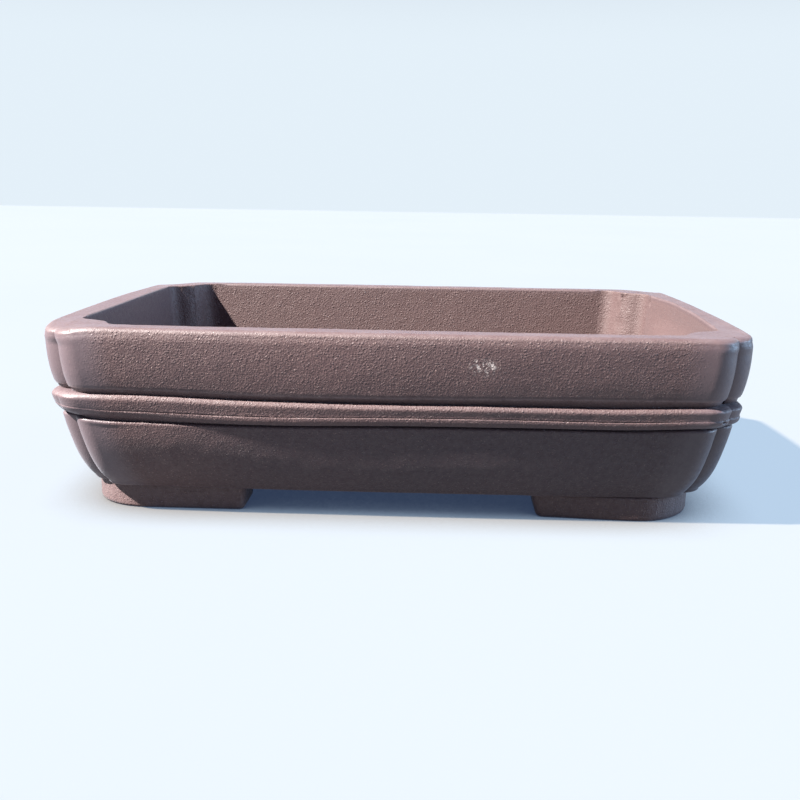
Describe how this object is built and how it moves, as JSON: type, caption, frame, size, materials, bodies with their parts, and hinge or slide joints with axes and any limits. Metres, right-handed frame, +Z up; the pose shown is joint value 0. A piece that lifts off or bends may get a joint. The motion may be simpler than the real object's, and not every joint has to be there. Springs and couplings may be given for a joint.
{
  "type": "rectangular bonsai pot",
  "caption": "Rectangular slab-built stoneware bonsai pot with a bulging upper wall, raised waist band, double-lobed corners and low corner feet.",
  "frame": {"origin": "centre of the pot's footprint on the ground, under the feet", "axes": "+X along the pot's long side, +Y towards its back, +Z up through the rim"},
  "size_m": [0.305, 0.226, 0.082],
  "materials": {
    "stoneware": "unglazed, fine sandy dark red-brown body"
  },
  "bodies": {
    "root": {"back_band": "stoneware", "back_wall": "stoneware", "corner_coil_back_left": "stoneware", "corner_coil_back_right": "stoneware", "corner_coil_front_left": "stoneware", "corner_coil_front_right": "stoneware", "floor_coil_back": "stoneware", "floor_coil_front": "stoneware", "floor_coil_left": "stoneware", "floor_coil_right": "stoneware", "floor_slab": "stoneware", "foot_back_left": "stoneware", "foot_back_right": "stoneware", "foot_front_left": "stoneware", "foot_front_right": "stoneware", "front_band": "stoneware", "front_wall": "stoneware", "left_band": "stoneware", "left_wall": "stoneware", "right_band": "stoneware", "right_wall": "stoneware"}
  },
  "joints": []
}
